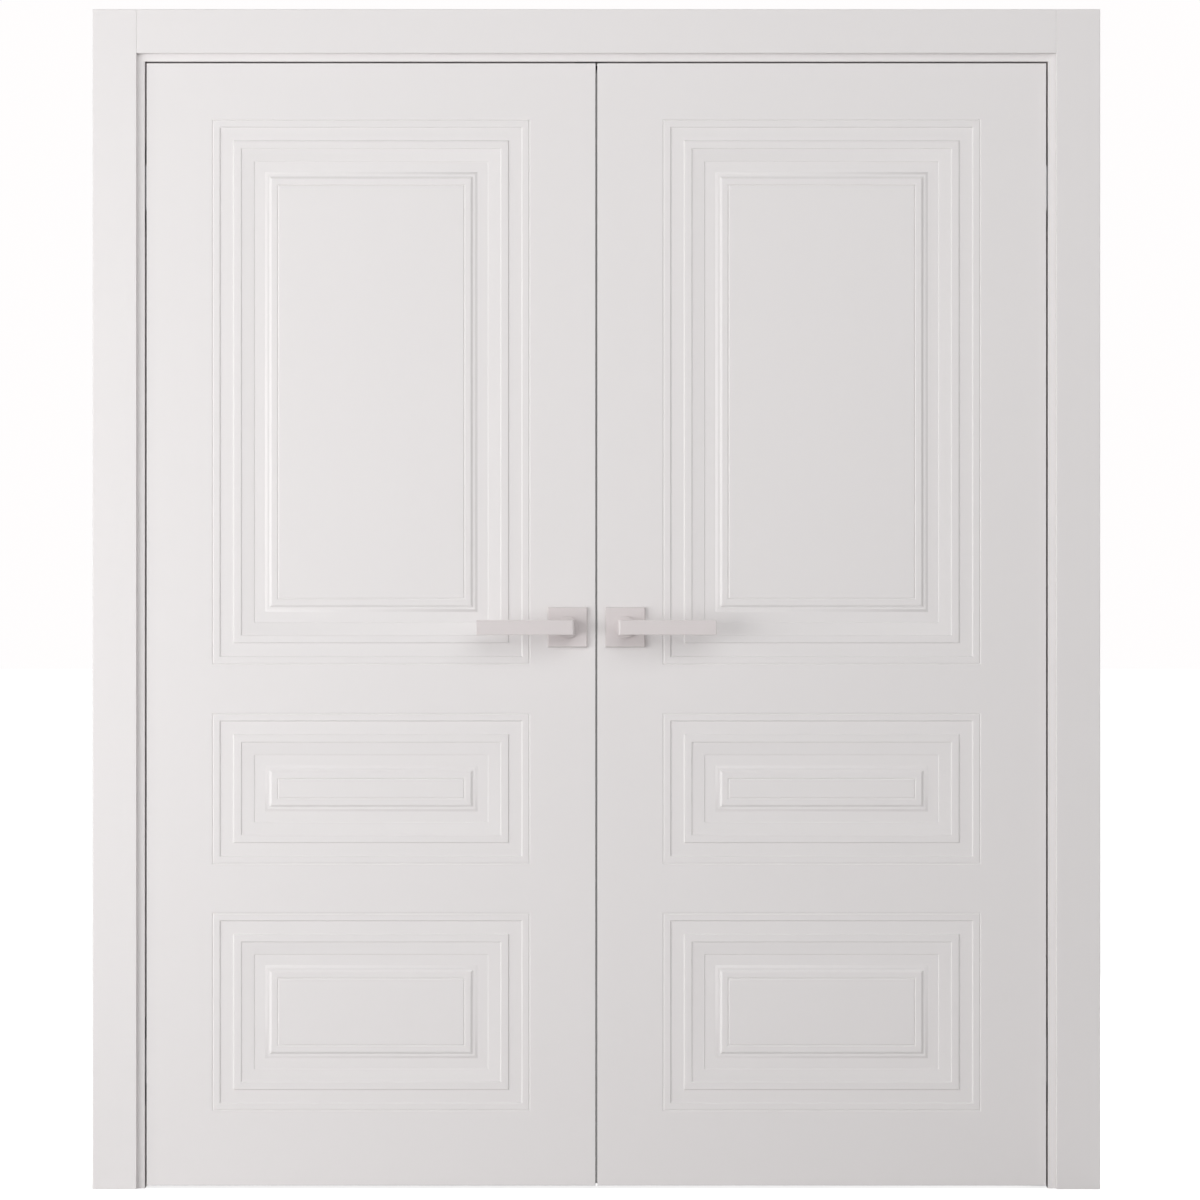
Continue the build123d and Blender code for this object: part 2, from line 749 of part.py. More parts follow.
save_pair(lever.part, "front_lever")
save_pair(reflected(lever.part, front_to_back), "back_lever")

with BuildPart() as spindle:
    spindle_half = leaf_thickness / 2 + socket_depth - spindle_end_clear
    with BuildSketch(Plane.XZ.offset(-spindle_half)):
        with Locations((handle_x, handle_height)):
            Rectangle(spindle_width, spindle_width)
    extrude(amount=2 * spindle_half)
save_pair(spindle.part, "spindle")
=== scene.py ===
"""The looks of a pair of panelled doors in their frame, laid out as an add-on and run as a script."""

import json
from math import cos, pi, radians, sin

import bmesh
import bpy
import numpy as np
from bpy.props import FloatProperty, FloatVectorProperty, IntProperty, PointerProperty
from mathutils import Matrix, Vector


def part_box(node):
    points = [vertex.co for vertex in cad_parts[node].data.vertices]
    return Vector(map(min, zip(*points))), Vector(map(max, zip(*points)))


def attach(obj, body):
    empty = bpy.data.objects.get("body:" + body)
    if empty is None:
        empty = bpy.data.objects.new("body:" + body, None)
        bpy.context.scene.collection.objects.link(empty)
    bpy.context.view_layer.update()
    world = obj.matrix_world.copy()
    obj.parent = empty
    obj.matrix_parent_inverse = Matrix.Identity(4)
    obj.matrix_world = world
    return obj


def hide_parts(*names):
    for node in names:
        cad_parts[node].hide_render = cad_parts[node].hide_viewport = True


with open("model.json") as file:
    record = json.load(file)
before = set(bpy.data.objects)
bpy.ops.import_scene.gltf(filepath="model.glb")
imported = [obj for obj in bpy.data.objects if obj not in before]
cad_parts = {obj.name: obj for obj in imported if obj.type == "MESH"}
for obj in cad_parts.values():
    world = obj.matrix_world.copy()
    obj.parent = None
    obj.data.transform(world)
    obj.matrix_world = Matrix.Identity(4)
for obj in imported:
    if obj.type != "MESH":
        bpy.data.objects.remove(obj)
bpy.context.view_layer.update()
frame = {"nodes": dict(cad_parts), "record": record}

bl_info = {
    "name": "Panelled doors",
    "version": (1, 0, 0),
    "blender": (4, 5, 0),
    "location": "3D View > Sidebar > Doors",
    "description": "Skins, casings, handles, screws, finishes and a studio for a pair of panelled doors",
    "category": "Object",
}

SIDES = {"left": -1, "right": 1}
FACES = {"front": -1, "back": 1}

# Rooms cut in the skins for hinges and seals, in metres
POCKET_EASE = 0.0002
FLANGE_POCKET_DEPTH = 0.0032
BOX_POCKET_DEPTH = 0.0241
BOX_POCKET_HALF_HEIGHT = 0.0552
SEAL_GROOVE_DEPTH = 0.0042
SEAL_GROOVE_HALF_WIDTH = 0.0012
OVERCUT = 0.001

# How far the casings' tongues run past the inner corner of the jambs
TONGUE_REACH = 0.012

# From the end of a plate to its screw
SCREW_INSET = 0.012

# Points nearer than this are one point
WELD = 1e-6


def length(name, description, default):
    """A length property in metres, shown with two decimals of a millimetre."""
    return FloatProperty(
        name=name, description=description, default=default, min=0, unit="LENGTH", precision=5
    )


def level(name, description, default):
    """A plain number, such as a power or a strength."""
    return FloatProperty(name=name, description=description, default=default, min=0)


def place(name, description, default):
    """A place in metres."""
    return FloatVectorProperty(
        name=name, description=description, default=default, size=3, subtype="XYZ", unit="LENGTH"
    )


def spread(name, description, default):
    """A width and a height in metres."""
    return FloatVectorProperty(
        name=name, description=description, default=default, size=2, min=0, unit="LENGTH"
    )


def tint(name, description, default):
    """A colour property, as linear red, green and blue."""
    return FloatVectorProperty(
        name=name, description=description, default=default, size=3, min=0, max=1, subtype="COLOR"
    )


class PanelSizes(bpy.types.PropertyGroup):
    side_margin: length("Side margin", "From the leaf's edge to the outer groove", 0.118)
    bottom_margin: length("Bottom margin", "Below the lowest outer groove", 0.134)
    top_margin: length("Top margin", "Above the highest outer groove", 0.101)
    spacing: length("Spacing", "Between the outer grooves of two panels", 0.089)
    lower_height: length("Lower height", "Height of the lowest panel's outer groove", 0.351)
    middle_height: length("Middle height", "Height of the middle panel's outer groove", 0.267)
    groove_half_width: length("Groove half width", "Half of a fine groove's width", 0.00175)
    groove_depth: length("Groove depth", "Depth of a fine groove", 0.0013)
    channel_depth: length("Channel depth", "Depth of the flat channel", 0.0020)
    channel_start: length("Channel start", "Inset of the flat channel from the outer groove", 0.012)
    channel_width: length("Channel width", "Width of the flat channel", 0.0262)
    dish_start: length("Dish start", "Inset of the dished border", 0.050)
    dish_lip: length("Dish lip", "Depth and width of the dished border's steep lip", 0.0015)
    slope_end: length("Slope end", "Inset where the dished border's long slope ends", 0.073)
    slope_depth: length("Slope depth", "Depth where the long slope ends", 0.004)
    dish_depth: length("Dish depth", "Depth of the dished border's floor", 0.005)
    first_bead: length("First bead", "Inset where the first rise starts", 0.0925)
    first_bead_top: length("First bead top", "Inset where the first rise ends", 0.0970)
    ledge_depth: length("Ledge depth", "Depth of the ledge between the rises", 0.00265)
    second_bead: length("Second bead", "Inset where the second rise starts", 0.1006)
    second_bead_top: length("Second bead top", "Inset where the second rise ends", 0.1048)
    inner_groove: length("Inner groove", "Inset of the fine groove round the field", 0.116)
    easing: length("Easing", "Radius that sanding and paint leave on each edge", 0.0005)
    arris: length("Arris", "Radius of the leaf's outer edges", 0.0012)


class CasingSizes(bpy.types.PropertyGroup):
    thickness: length("Thickness", "Thickness of the casing boards", 0.010)
    tongue_inset: length("Tongue inset", "From the casing's inner edge to its tongue", 0.0125)
    tongue_thickness: length("Tongue thickness", "Thickness of the tongue in the jamb's groove", 0.005)
    arris: length("Arris", "Radius of the casing's edges", 0.0011)
    jamb_arris: length("Jamb arris", "Radius of the jambs' edges", 0.0008)


class HandleSizes(bpy.types.PropertyGroup):
    bar_thickness: length("Bar thickness", "Thickness of the lever's bar", 0.010)
    bar_height: length("Bar height", "Height of the lever's bar", 0.026)
    root_x: length("Root", "From the middle of the pair to the lever's bend", 0.0385)
    root_width: length("Root width", "Width of the lever where it leaves the neck", 0.0265)
    outer_radius: length("Outer bend", "Radius of the bend's outer side", 0.0050)
    inner_radius: length("Inner bend", "Radius of the bend's inner side", 0.0040)
    arris: length("Arris", "Radius of the bar's edges", 0.0011)
    neck_radius: length("Neck radius", "Radius of the round neck", 0.0193)
    neck_length: length("Neck length", "Length of the round neck", 0.006)
    neck_gap: length("Neck gap", "Gap between neck and rose", 0.0004)
    journal_radius: length("Journal radius", "Radius of the part that turns in the rose", 0.009)
    rose_bevel: length("Rose bevel", "Width of the rose's bevelled edge, seen from in front", 0.0016)
    rose_bevel_depth: length("Rose bevel depth", "Depth of the rose's bevelled edge", 0.0026)


class ScrewSizes(bpy.types.PropertyGroup):
    head_radius: length("Head radius", "Radius of a countersunk head", 0.0040)
    cross_length: length("Cross length", "Reach of the cross recess from the middle", 0.0026)
    cross_width: length("Cross width", "Half width of the cross recess", 0.00055)
    cross_depth: length("Cross depth", "Depth of the cross recess", 0.0011)
    proud: length("Proud", "How far a head stands over its plate", 0.0001)
    first_seat: length("First seat", "From a bolt case's inner end to its first screw", 0.012)
    second_seat: length("Second seat", "From a bolt case's inner end to its second screw", 0.042)
    spokes: IntProperty(name="Spokes", description="Points round a head", default=48, min=16)


class ThumbSizes(bpy.types.PropertyGroup):
    ridges: IntProperty(name="Ridges", description="Ridges on a thumb slide", default=4, min=1)
    ridge_height: length("Ridge height", "Height of the thumb slide's ridges", 0.00045)
    half_width: length("Half width", "Half of the ridges' length across the edge of the leaf", 0.0027)
    height: length("Height", "Height of the ridged field", 0.0108)


class FinishColours(bpy.types.PropertyGroup):
    enamel: tint("Enamel", "White enamel of leaves, jambs and casings", (0.862, 0.838, 0.835))
    handle: tint("Handle", "Matt lacquer of levers and roses", (0.760, 0.710, 0.708))
    pine: tint("Pine", "Planed timber of the leaf frames", (0.66, 0.47, 0.28))
    fibreboard: tint("Fibreboard", "Bare fibreboard on the wall side", (0.47, 0.35, 0.23))
    seal: tint("Seal", "Rubber of the seals", (0.030, 0.030, 0.032))
    hinge: tint("Hinge metal", "Satin metal of the hinges", (0.62, 0.62, 0.63))
    steel: tint("Steel", "Brushed steel of latch, strike and bolts", (0.56, 0.57, 0.58))
    plastic: tint("Plastic", "Moulded plastic of the strike box", (0.62, 0.62, 0.61))


class StudioSettings(bpy.types.PropertyGroup):
    image_width: length("Image width", "Width seen at the casings' front", 2.1354)
    camera_distance: length("Camera distance", "From the camera to the casings' front", 8.0)
    camera_x: length("Camera x", "Sideways place of the camera", 0.0064)
    camera_z: length("Camera height", "Height of the camera over the floor", 1.0486)
    sky_level: level("Sky level", "Strength of the even light", 0.225)
    key_watts: level("Key lamp", "Power of the lamp at the left", 153.0)
    key_place: place("Key place", "Place of the lamp at the left", (-3.4, -2.6, 0.6))
    key_size: spread("Key size", "Width and height of the lamp at the left", (4.0, 3.0))
    fill_watts: level("Fill lamp", "Power of the lamp high in front", 80.0)
    fill_place: place("Fill place", "Place of the lamp high in front", (0.8, -4.0, 3.4))
    fill_size: spread("Fill size", "Width and height of the lamp high in front", (5.0, 3.0))
    back_watts: level("Back lamp", "Power of the lamp behind", 110.0)
    back_place: place("Back place", "Place of the lamp behind", (2.6, 3.4, 1.6))
    back_size: spread("Back size", "Width and height of the lamp behind", (2.4, 2.4))
    aim: place("Aim", "The point that all lamps face", (0.0, 0.0, 1.0))
    near_glow: level("Near glow", "The floor's own light by the doors", 0.76)
    far_glow: level("Far glow", "The floor's own light far away", 0.89)
    floor_reach: length("Floor reach", "Distance at which the floor has its far light", 7.0)
    floor_half: length("Floor half width", "Half of the floor's width", 60.0)


def eased(points, radius, steps=4):
    """An open line of 2-D points with an arc at each inner corner.

    An arc of that radius touches both runs at radius * tan(turn / 2) from the corner, or nearer where a run
    is short. Its points are the centre plus (sin((1 - s) turn) a + sin(s turn) b) / sin(turn), for s from 0
    to 1, where a and b are the arms from the centre to both ends.
    """
    points = np.asarray(points, float)
    runs = np.diff(points, axis=0)
    lengths = np.linalg.norm(runs, axis=1, keepdims=True)
    before, after = (runs / lengths)[:-1], (runs / lengths)[1:]
    turn = np.arccos(np.clip((before * after).sum(1, keepdims=True), -1, 1))
    reach = np.minimum(radius * np.tan(turn / 2), 0.45 * np.minimum(lengths[:-1], lengths[1:]))
    bend = reach / np.tan(turn / 2)
    inward = after - before
    inward /= np.linalg.norm(inward, axis=1, keepdims=True)
    centre = points[1:-1] + inward * bend / np.cos(turn / 2)
    first = points[1:-1] - before * reach - centre
    last = points[1:-1] + after * reach - centre
    share = np.linspace(0, 1, steps + 1)[None, :, None]
    turn = turn[:, None]
    arcs = np.sin((1 - share) * turn) * first[:, None] + np.sin(share * turn) * last[:, None]
    arcs = centre[:, None] + arcs / np.sin(turn)
    return np.vstack([points[:1], arcs.reshape(-1, 2), points[-1:]])


def grid_faces(rows, columns, closed=False, start=0):
    """Quads of a grid of points counted row by row; closed joins the last column to the first."""
    index = start + np.arange(rows * columns).reshape(rows, columns)
    if closed:
        index = np.column_stack([index, index[:, :1]])
    quads = np.stack([index[:-1, :-1], index[:-1, 1:], index[1:, 1:], index[1:, :-1]], axis=-1)
    return quads.reshape(-1, 4).tolist()


def tube(rings, start=0):
    """Points and faces of a closed skin over rings of points, with a flat cap at both ends."""
    rows, columns = rings.shape[:2]
    faces = grid_faces(rows, columns, closed=True, start=start)
    first = list(range(start, start + columns))
    last = list(range(start + (rows - 1) * columns, start + rows * columns))
    return rings.reshape(-1, 3), faces + [first, last]


def joined(*shells):
    """Several (points, faces) shells as one."""
    points, faces = [], []
    for shell_points, shell_faces in shells:
        start = sum(len(p) for p in points)
        points.append(shell_points)
        faces += [[start + i for i in face] for face in shell_faces]
    return np.vstack(points), faces


def shell_object(name, shell):
    """An object of a closed shell, with its equal points joined and its faces turned outward."""
    points, faces = shell
    mesh = bpy.data.meshes.new(name)
    mesh.from_pydata(points.tolist(), [], faces)
    work = bmesh.new()
    work.from_mesh(mesh)
    bmesh.ops.remove_doubles(work, verts=work.verts, dist=WELD)
    bmesh.ops.recalc_face_normals(work, faces=work.faces)
    work.to_mesh(mesh)
    work.free()
    made = bpy.data.objects.new(name, mesh)
    bpy.context.scene.collection.objects.link(made)
    return made


def cut_away(piece, shell):
    """Take a closed shell out of a piece and keep the result as the piece's mesh."""
    cutter = shell_object("cutter", shell)
    cut = piece.modifiers.new("Cut", "BOOLEAN")
    cut.operation = "DIFFERENCE"
    cut.solver = "EXACT"
    cut.object = cutter
    bpy.context.view_layer.update()
    result = bpy.data.meshes.new_from_object(piece.evaluated_get(bpy.context.evaluated_depsgraph_get()))
    piece.modifiers.remove(cut)
    spent = (piece.data, cutter.data)
    piece.data = result
    result.name = piece.name
    bpy.data.objects.remove(cutter)
    for mesh in spent:
        bpy.data.meshes.remove(mesh)


def smooth_piece(name, shell, body, slot, bevel=0.0, replaces=(), cutters=()):
    """A closed piece from a shell: cut, eased and smooth-shaded, on its body and in its slot's finish."""
    piece = shell_object(name, shell)
    for cutter in cutters:
        cut_away(piece, cutter)
    mesh = piece.data
    mesh.shade_smooth()
    mesh.set_sharp_from_angle(angle=radians(35))
    if bevel:
        round_edges(piece, bevel, 3, 50)
    piece.modifiers.new("Normals", "WEIGHTED_NORMAL").keep_sharp = True
    mesh.materials.clear()
    mesh.materials.append(bpy.data.materials[slot])
    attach(piece, body)
    if replaces:
        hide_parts(*replaces)
    return piece


def round_edges(piece, width, segments, degrees):
    """Round the edges where faces turn by more than an angle."""
    rounding = piece.modifiers.new("Rounding", "BEVEL")
    rounding.width = width
    rounding.segments = segments
    rounding.limit_method = "ANGLE"
    rounding.angle_limit = radians(degrees)
    return rounding


def rectangle_rings(low, high, profile):
    """Rings of four corners: the rectangle from low to high, drawn in by a profile's inset, at its depth.

    A profile is rows of (inset, depth), and the result has rows of corners as (across, up, depth).
    """
    signs = np.array([(1, 1), (-1, 1), (-1, -1), (1, -1)])
    corners = np.where(signs > 0, low, high)
    flat = corners[None] + signs[None] * profile[:, None, None, 0]
    depth = np.broadcast_to(profile[:, None, None, 1], flat.shape[:2] + (1,))
    return np.concatenate([flat, depth], axis=2)


def box_shell(low, high):
    """A plain box."""
    corner = np.array([(0, 0), (1, 0), (1, 1), (0, 1)])
    low, high = np.asarray(low, float), np.asarray(high, float)
    flat = low[:2] + corner * (high - low)[:2]
    rings = np.stack([np.column_stack([flat, np.full(4, z)]) for z in (low[2], high[2])])
    return tube(rings)


def slot_shell(centre, half_width, half_length, start_x, end_x, steps=16):
    """A round-ended bar along X: its outline is two half circles and the straights between them."""
    angle = np.linspace(0, pi, steps + 1)
    straight = half_length - half_width
    upper = np.column_stack([half_width * np.cos(angle), straight + half_width * np.sin(angle)])
    outline = np.vstack([upper, -upper])
    rings = [
        np.column_stack([np.full(len(outline), x), centre[0] + outline[:, 0], centre[1] + outline[:, 1]])
        for x in (start_x, end_x)
    ]
    return tube(np.stack(rings))


def moulding_profile(sizes):
    """The routed moulding as (inset, depth) rows, from outside the outer groove to inside the inner one."""
    groove = sizes.groove_half_width
    deep = sizes.groove_depth
    step = sizes.channel_depth
    channel_end = sizes.channel_start + sizes.channel_width
    land = 2 * groove
    corners = (
        (-land, 0),
        (-groove, 0),
        (0, deep),
        (groove, 0),
        (sizes.channel_start, 0),
        (sizes.channel_start + step, step),
        (channel_end - step, step),
        (channel_end, 0),
        (sizes.dish_start, 0),
        (sizes.dish_start + sizes.dish_lip, sizes.dish_lip),
        (sizes.slope_end, sizes.slope_depth),
        (sizes.slope_end + sizes.dish_depth - sizes.slope_depth, sizes.dish_depth),
        (sizes.first_bead, sizes.dish_depth),
        (sizes.first_bead_top, sizes.ledge_depth),
        (sizes.second_bead, sizes.ledge_depth),
        (sizes.second_bead_top, 0),
        (sizes.inner_groove - groove, 0),
        (sizes.inner_groove, deep),
        (sizes.inner_groove + groove, 0),
        (sizes.inner_groove + land, 0),
    )
    return eased(corners, sizes.easing)


def skin_shell(sizes, low, high, thickness):
    """A leaf's skin as (across, up, depth) points: nested rectangles along the edge and along each panel's
    moulding, flat faces between them, and a flat back."""
    edge = eased(((0, thickness), (0, 0), (2 * sizes.arris, 0)), sizes.arris)
    border = rectangle_rings(low, high, edge)
    profile = moulding_profile(sizes)
    left, right = low[0] + sizes.side_margin, high[0] - sizes.side_margin
    middle = low[1] + sizes.bottom_margin + sizes.lower_height + sizes.spacing
    upper = middle + sizes.middle_height + sizes.spacing
    spans = (
        (low[1] + sizes.bottom_margin, low[1] + sizes.bottom_margin + sizes.lower_height),
        (middle, middle + sizes.middle_height),
        (upper, high[1] - sizes.top_margin),
    )
    rings = [border] + [rectangle_rings((left, bottom), (right, top), profile) for bottom, top in spans]
    starts = np.cumsum([0] + [r.shape[0] * 4 for r in rings])
    faces = []
    for ring, start in zip(rings, starts):
        faces += grid_faces(ring.shape[0], 4, closed=True, start=start)
    rim = list(range(starts[1] - 4, starts[1]))
    faces.append([0, 1, 2, 3])
    faces += [list(range(start - 4, start)) for start in starts[2:]]
    panels = [list(range(start, start + 4)) for start in starts[1:4]]
    west = [p[i] for p in panels for i in (0, 3)]
    east = [p[i] for p in panels for i in (1, 2)]
    faces.append([rim[0], *west, rim[3]])
    faces.append([rim[1], *east, rim[2]])
    bands = [rim[:2], *[[p[3], p[2]] for p in panels]]
    tops = [*[[p[1], p[0]] for p in panels], [rim[2], rim[3]]]
    faces += [low_pair + high_pair for low_pair, high_pair in zip(bands, tops)]
    return np.vstack([r.reshape(-1, 3) for r in rings]), faces


def section_ring(half_width, half_height, radius, steps=4):
    """A rounded rectangle about the origin: a quarter circle of the radius at each corner."""
    angle = np.linspace(0, pi / 2, steps + 1)
    quarter = np.column_stack([np.cos(angle), np.sin(angle)]) * radius
    corner = quarter + (half_width - radius, half_height - radius)
    mirrored = (corner[::-1] * (-1, 1), -corner, corner[::-1] * (1, -1))
    return np.vstack([corner, *mirrored])


def lever_bar_shell(sizes, neck_y, tip_x, front_y, height):
    """The lever's bar: a rounded rectangle carried from the outer line of the bend to the inner one.

    Both lines have the same number of points, so each pair spans a section, and past the last pair the
    section shrinks along a quarter circle to round the tip.
    """
    back_y = front_y + sizes.bar_thickness
    root_x = sizes.root_x
    inner_x = root_x + sizes.root_width
    round_end = tip_x - sizes.arris
    outer = eased(((root_x, neck_y), (root_x, front_y), (round_end, front_y)), sizes.outer_radius, 12)
    inner = eased(((inner_x, neck_y), (inner_x, back_y), (round_end, back_y)), sizes.inner_radius, 12)
    rings = []
    for near, far in zip(outer, inner):
        middle, span = (near + far) / 2, (far - near)
        half = np.linalg.norm(span) / 2
        flat = section_ring(half, sizes.bar_height / 2, sizes.arris)
        place = middle + flat[:, :1] * span / (2 * half)
        rings.append(np.column_stack([place, height + flat[:, 1]]))
    for turn in np.linspace(0, pi / 2, 5)[1:]:
        inset = sizes.arris * (1 - cos(turn)) * 0.98
        half = sizes.bar_thickness / 2 - inset
        flat = section_ring(half, sizes.bar_height / 2 - inset, sizes.arris - inset)
        across = (front_y + back_y) / 2 + flat[:, 0]
        along = np.full(len(flat), round_end + sizes.arris * sin(turn))
        rings.append(np.column_stack([along, across, height + flat[:, 1]]))
    return tube(np.stack(rings))


def turned_shell(profile, centre, spokes=64):
    """A surface of revolution about the line along Y through the centre (x, z).

    The profile is rows of (radius, y), and its ends on the axis close into poles.
    """
    angle = np.linspace(0, 2 * pi, spokes, endpoint=False)
    radius, y = profile[:, :1], profile[:, 1:]
    x = centre[0] + radius * np.cos(angle)
    z = centre[1] + radius * np.sin(angle)
    rings = np.stack([x, np.broadcast_to(y, x.shape), z], axis=2)
    return rings.reshape(-1, 3), grid_faces(len(profile), spokes, closed=True)


def screw_shell(sizes, seat, outward, upward):
    """A countersunk head as rings and spokes about its seat.

    Its height is a shallow dome, less a cross recess: a point is in the cross where the smaller of its two
    distances from the arms' lines is under the arm's half width, and the larger one under the arm's length.
    """
    outward = np.asarray(outward, float)
    upward = np.asarray(upward, float)
    across = np.cross(upward, outward)
    rings = 20
    radius = np.concatenate([np.linspace(0, 1, rings) * sizes.head_radius, [sizes.head_radius]])[:, None]
    angle = np.linspace(0, 2 * pi, sizes.spokes, endpoint=False)[None]
    x, y = radius * np.cos(angle), radius * np.sin(angle)
    near = np.minimum(abs(x), abs(y))
    far = np.maximum(abs(x), abs(y))
    soft = sizes.cross_width / 2
    inside = np.clip((sizes.cross_width - near) / soft, 0, 1)
    inside = inside * np.clip((sizes.cross_length - far) / soft, 0, 1)
    height = sizes.proud * (2 - (radius / sizes.head_radius) ** 2) - sizes.cross_depth * inside
    height[-1] = -2 * sizes.cross_depth
    local = x[..., None] * across + y[..., None] * upward + height[..., None] * outward
    points = np.asarray(seat, float) + local
    rim = list(range(rings * sizes.spokes, (rings + 1) * sizes.spokes))
    return points.reshape(-1, 3), grid_faces(rings + 1, sizes.spokes, closed=True) + [rim]


def ridge_shell(sizes, face_x, middle_z):
    """A ridged field on a face towards +X.

    Its height is the ridge height times |sin| of the way up, with half a turn for each ridge, so the ridges
    are round and the valleys between them sharp.
    """
    share = np.linspace(0, 1, 12 * sizes.ridges + 1)
    rise = sizes.ridge_height * abs(np.sin(pi * sizes.ridges * share))
    z = middle_z + (share - 0.5) * sizes.height
    sunk = np.full_like(z, face_x - sizes.ridge_height)
    top = face_x + rise
    across = sizes.half_width
    corners = ((sunk, -across), (sunk, across), (top, across), (top, -across))
    rings = [np.column_stack([x, np.full_like(z, y), z]) for x, y in corners]
    return tube(np.stack(rings, axis=1))


class Wire:
    """A shader socket, so that sums and products written with it become Math nodes."""

    def __init__(self, finish, socket):
        self.finish = finish
        self.socket = socket

    def math(self, operation, *values):
        return self.finish.node("ShaderNodeMath", {"operation": operation}, dict(enumerate(values)))

    def __add__(self, other):
        return self.math("ADD", self, other)

    __radd__ = __add__

    def __sub__(self, other):
        return self.math("SUBTRACT", self, other)

    def __rsub__(self, other):
        return self.math("SUBTRACT", other, self)

    def __mul__(self, other):
        return self.math("MULTIPLY", self, other)

    __rmul__ = __mul__

    def __truediv__(self, other):
        return self.math("DIVIDE", self, other)

    def __gt__(self, other):
        return self.math("GREATER_THAN", self, other)

    def __lt__(self, other):
        return self.math("LESS_THAN", self, other)

    def __abs__(self):
        return self.math("ABSOLUTE", self)

    def larger(self, other):
        return self.math("MAXIMUM", self, other)

    def clamped(self):
        return self.math("MINIMUM", self.math("MAXIMUM", self, 0.0), 1.0)


class Finish:
    """A material with one Principled shader, and short ways to add nodes before it."""

    def __init__(self, name, **plain):
        self.material = bpy.data.materials.new(name)
        self.material.use_nodes = True
        self.tree = self.material.node_tree
        self.tree.nodes.clear()
        self.shader = self.tree.nodes.new("ShaderNodeBsdfPrincipled")
        output = self.tree.nodes.new("ShaderNodeOutputMaterial")
        self.tree.links.new(self.shader.outputs[0], output.inputs[0])
        self.place = self.node("ShaderNodeTexCoord", {}, {}, "Object")
        for socket, value in plain.items():
            self.shader.inputs[socket.replace("_", " ")].default_value = value

    def node(self, kind, settings, inputs, output=0):
        """Add a node with its settings and its sockets' values or links, and return one output as a Wire."""
        node = self.tree.nodes.new(kind)
        for name, value in settings.items():
            setattr(node, name, value)
        for key, value in inputs.items():
            if isinstance(value, Wire):
                self.tree.links.new(value.socket, node.inputs[key])
            else:
                node.inputs[key].default_value = value
        return Wire(self, node.outputs[output])

    def noise(self, scale, detail=2.0, roughness=0.5, stretch=(1, 1, 1), distortion=0.0):
        """Noise from 0 to 1 on the object's own coordinates, with a frequency for each axis."""
        place = self.node("ShaderNodeMapping", {}, {"Vector": self.place, "Scale": stretch})
        sockets = {"Vector": place, "Scale": scale, "Detail": detail, "Roughness": roughness}
        sockets["Distortion"] = distortion
        return self.node("ShaderNodeTexNoise", {}, sockets)

    def blend(self, share, first, second):
        """A colour between two, by a share from 0 to 1."""
        ends = [v if isinstance(v, Wire) else (*v, 1.0) for v in (first, second)]
        inputs = {0: share, 6: ends[0], 7: ends[1]}
        return self.node("ShaderNodeMix", {"data_type": "RGBA"}, inputs, 2)

    def axis(self, name):
        """One of the object's own coordinates."""
        return self.node("ShaderNodeSeparateXYZ", {}, {0: self.place}, name)

    def bump(self, height, depth, under=None):
        """A normal from a height of 0 to 1, with its full depth in metres."""
        inputs = {"Height": height, "Strength": 1.0, "Distance": depth}
        if under:
            inputs["Normal"] = under
        return self.node("ShaderNodeBump", {}, inputs)

    def feed_tone(self, share, colour, dark, pale):
        """Link the base colour to a tone between a darker and a paler shade of a colour."""
        self.feed("Base Color", self.blend(share, shade(colour, dark), shade(colour, pale)))

    def feed(self, socket, wire):
        """Link a wire to a socket of the shader."""
        self.tree.links.new(wire.socket, self.shader.inputs[socket])


def shade(colour, factor):
    """A colour made lighter or darker."""
    return tuple(min(1.0, c * factor) for c in colour)


def sprayed_enamel(finish, colour):
    """Colour, roughness and height of sprayed matt enamel: a slow drift of tone and fine orange peel."""
    drift = finish.noise(1.7, 2.0)
    peel = finish.noise(420.0, 3.0, 0.55)
    tone = finish.blend(drift, shade(colour, 0.992), shade(colour, 1.008))
    roughness = 0.40 + 0.10 * peel + 0.05 * drift
    return tone, roughness, peel


def pine_grain(finish, colour):
    """Colour, roughness and height of planed pine, with its grain along Z."""
    rings = finish.noise(9.0, 4.0, 0.55, (9.0, 9.0, 0.55), 0.6)
    bands = (rings * 21.0).math("FRACT", rings * 21.0)
    fibre = finish.noise(60.0, 3.0, 0.6, (9.0, 9.0, 0.4))
    late = bands * 0.55 + fibre * 0.30
    tone = finish.blend(late.clamped(), shade(colour, 1.12), shade(colour, 0.66))
    return tone, 0.55 + 0.2 * fibre, fibre


def fibreboard_face(finish, colour):
    """Colour, roughness and height of bare fibreboard: short matted fibres."""
    felt = finish.noise(700.0, 5.0, 0.7)
    cloud = finish.noise(14.0, 3.0)
    tone = finish.blend((felt * 0.6 + cloud * 0.4).clamped(), shade(colour, 0.80), shade(colour, 1.22))
    return tone, 0.75 + 0.15 * felt, felt


def dress(finish, under, over, mask):
    """Lay one (tone, roughness, height) finish over another where the mask is 1."""
    finish.feed("Base Color", finish.blend(mask, under[0], over[0]))
    finish.feed("Roughness", under[1] + mask * (over[1] - under[1]))
    finish.feed("Normal", finish.bump(under[2] + mask * (over[2] - under[2]), 0.00004))


def enamelled_boards(colours):
    """Enamel on what shows; bare fibreboard on the faces towards the wall."""
    finish = Finish("white_enamel", Specular_IOR_Level=0.45)
    jamb_low, jamb_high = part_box("right_jamb")
    head_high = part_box("head_jamb")[1]
    hair = 0.0003
    x, y, z = finish.axis("X"), finish.axis("Y"), finish.axis("Z")
    wall_side = (abs(x) > jamb_high.x - hair).larger(z > head_high.z - hair)
    within = (y > jamb_low.y - hair / 2) * (y < jamb_high.y + hair / 2)
    mask = 1.0 - wall_side * within
    dress(finish, fibreboard_face(finish, colours.fibreboard), sprayed_enamel(finish, colours.enamel), mask)


